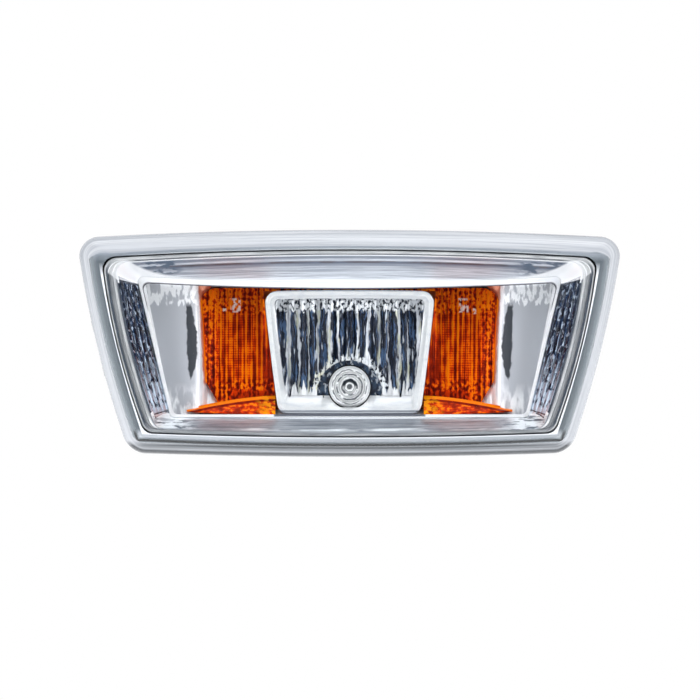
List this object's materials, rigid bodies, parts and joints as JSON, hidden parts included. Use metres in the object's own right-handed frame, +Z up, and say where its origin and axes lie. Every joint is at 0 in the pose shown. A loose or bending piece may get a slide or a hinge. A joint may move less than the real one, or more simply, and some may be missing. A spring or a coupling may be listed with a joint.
{
  "type": "vehicle indicator lamp",
  "caption": "Wing-mounted indicator lamp with a clear domed lens, a metallised reflector, amber side panels and a fluted bowl around a wedge bulb",
  "frame": {"origin": "middle of the wing cut-out, on the wing's outer surface: level with the lens's half height and on its upright middle line", "axes": "+X to the viewer's right as the lamp is seen from outside, +Y into the wing, +Z up; the lens faces -Y"},
  "size_m": [0.1238, 0.0559, 0.052],
  "materials": {
    "clear_lens": "clear moulded acrylic, polished",
    "grey_plastic": "moulded grey plastic",
    "metallised": "vacuum-metallised plastic, mirror bright",
    "amber_plastic": "clear amber plastic, fluted",
    "bulb_glass": "silvered glass",
    "black_plastic": "moulded black plastic",
    "seal_rubber": "soft black rubber",
    "contact_brass": "tinned brass strip",
    "gasket_foam": "closed-cell foam",
    "spring_steel": "spring steel strip",
    "patch_membrane": "white membrane"
  },
  "bodies": {
    "root": {"lens": "clear_lens", "housing": "grey_plastic", "reflector": "metallised", "bulb_bowl": "metallised", "amber_filter": "amber_plastic", "bulb": "bulb_glass", "bulb_holder": "black_plastic", "holder_seal": "seal_rubber", "terminal_upper": "contact_brass", "terminal_lower": "contact_brass", "wing_gasket": "gasket_foam", "spring_clip": "spring_steel", "breather_patch": "patch_membrane"}
  },
  "joints": []
}
